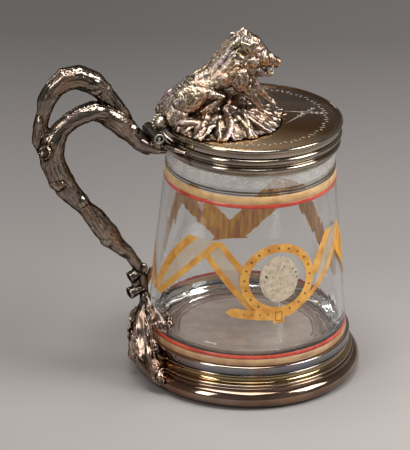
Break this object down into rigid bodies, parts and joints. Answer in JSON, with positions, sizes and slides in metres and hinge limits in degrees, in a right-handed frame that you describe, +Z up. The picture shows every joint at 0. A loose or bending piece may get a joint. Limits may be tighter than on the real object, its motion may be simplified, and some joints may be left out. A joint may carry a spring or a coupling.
{
  "type": "covered mug",
  "caption": "Tapered clear glass mug with a moulded metal foot, rim collar, branch-shaped handle and a flat hinged lid that carries a seated wild boar.",
  "frame": {"origin": "centre of the foot's underside, on the surface the mug stands on", "axes": "+Z up along the axis of the glass, -X toward the handle and the hinge, -Y the near side of the picture; the hinge turns about -Y"},
  "size_m": [0.1768, 0.12, 0.1862],
  "materials": {
    "clear_glass": "clear, smooth, painted with enamel bands",
    "silver_plate": "worn silver plate over brass, tarnished in the hollows",
    "dark_silver_plate": "brown tarnished silver plate over brass, polished",
    "plaster": "matt plaster",
    "steel": "plain"
  },
  "bodies": {
    "mug": {"glass_body": "clear_glass", "foot_ring": "dark_silver_plate", "foot_bezel": "silver_plate", "foot_plaster": "plaster", "foot_base_plate": "silver_plate", "rim_collar": "silver_plate", "rim_cement": "plaster", "handle_trunk": "silver_plate", "handle_upper_branch": "silver_plate", "handle_cut_branch": "silver_plate", "handle_bud_upper": "silver_plate", "handle_bud_lower": "silver_plate", "handle_twig": "silver_plate", "root_near": "silver_plate", "root_far": "silver_plate", "root_leaf_near": "silver_plate", "root_leaf_far": "silver_plate", "hinge_block": "silver_plate", "hinge_pin": "steel"},
    "lid": {"lid_plate": "dark_silver_plate", "lid_edge": "silver_plate", "lid_flange": "silver_plate", "lid_hinge_leaf": "silver_plate", "thumb_cup": "silver_plate", "thumb_acorn": "silver_plate", "lid_mound": "silver_plate", "boar_figure": "silver_plate", "figure_screw_front": "steel", "figure_screw_rear": "steel"}
  },
  "joints": [
    {"name": "lid_hinge", "type": "hinge", "parent": "mug", "child": "lid", "pos_m": [-0.0535, 0, 0.1358], "axis": [0, -1, 0], "range_deg": [0, 55]}
  ]
}
